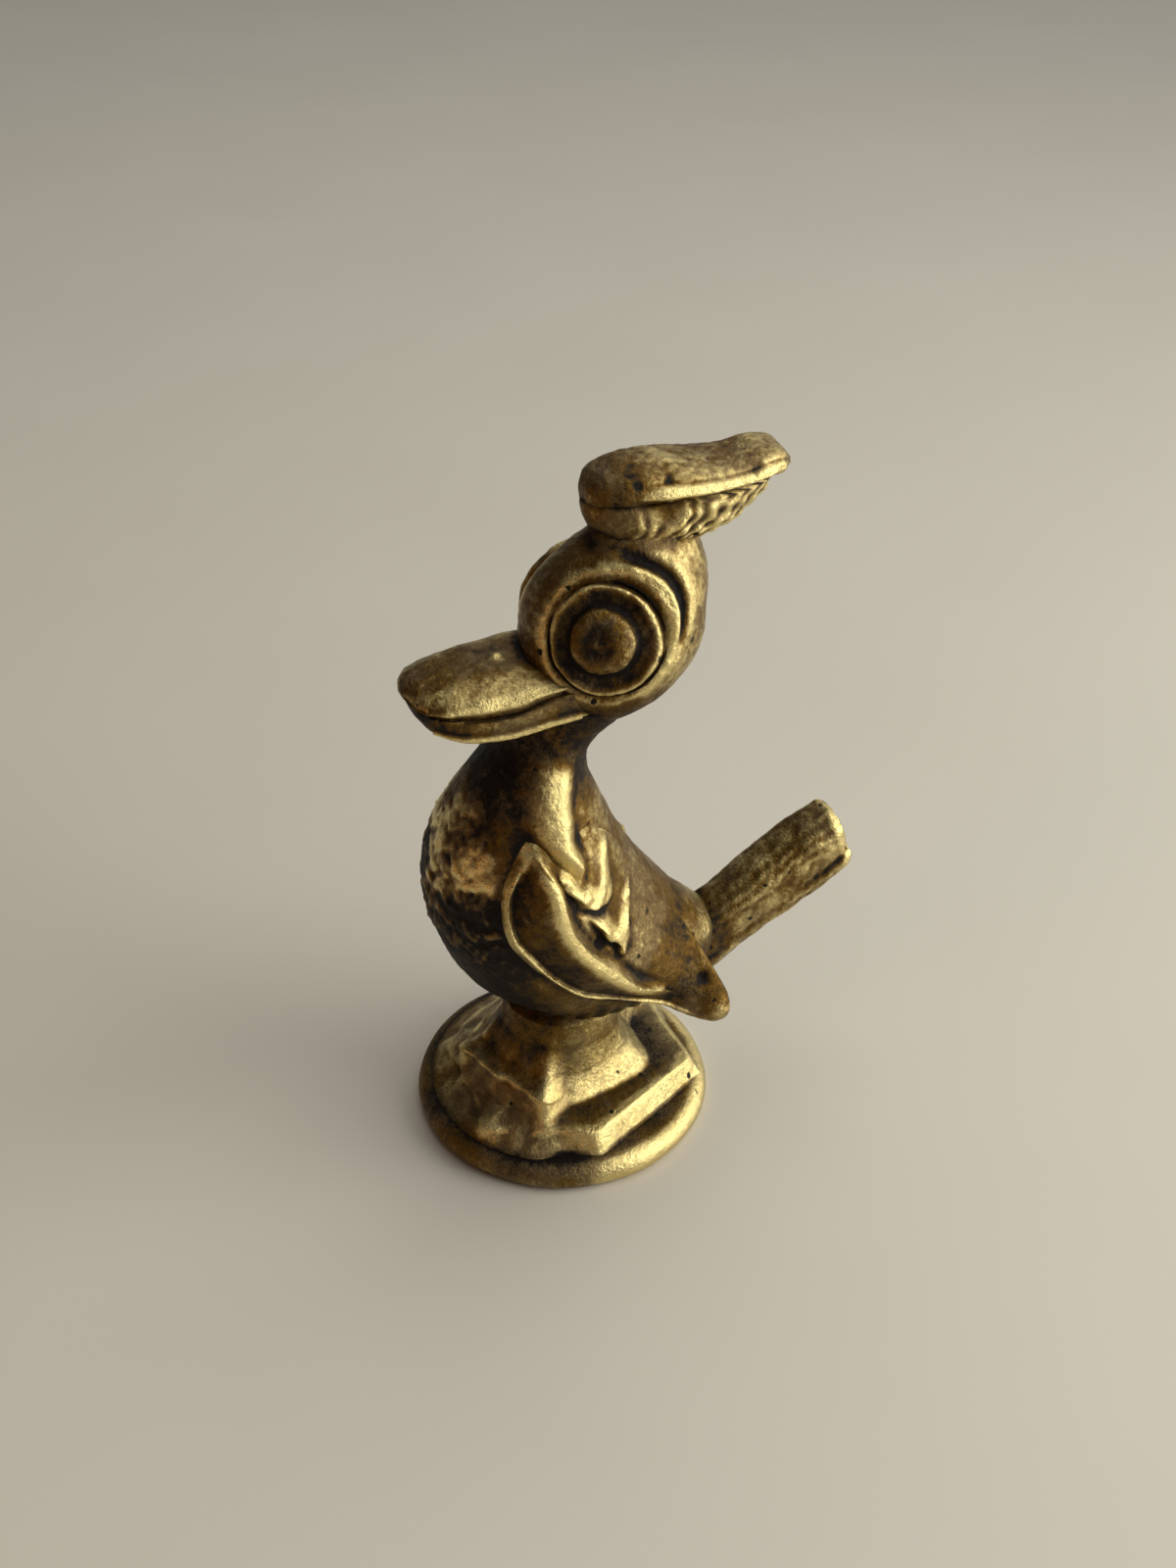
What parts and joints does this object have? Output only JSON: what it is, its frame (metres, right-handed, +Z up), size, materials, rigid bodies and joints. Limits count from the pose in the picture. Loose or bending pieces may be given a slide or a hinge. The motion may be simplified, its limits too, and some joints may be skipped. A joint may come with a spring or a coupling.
{
  "type": "bird figurine",
  "caption": "Small brass bird figurine: a crested duckling with folded wings and a bar tail, standing on a craggy rock on a round disc.",
  "frame": {"origin": "centre of the disc's flat underside", "axes": "+Z up, the bird faces -Y, its left side is +X"},
  "size_m": [0.0254, 0.0388, 0.0594],
  "materials": {
    "base_brass": "aged, worn bright on the edges and dark in the hollows",
    "bird_brass": "aged, worn bright on the high places and dark in the hollows"
  },
  "bodies": {
    "root": {"base_disc": "base_brass", "rock_mound": "base_brass", "body": "bird_brass", "left_wing": "bird_brass", "right_wing": "bird_brass", "tail": "bird_brass", "head": "bird_brass", "left_eye": "bird_brass", "right_eye": "bird_brass", "upper_bill": "bird_brass", "lower_bill": "bird_brass", "crest_band": "bird_brass", "crest_plume": "bird_brass"}
  },
  "joints": []
}
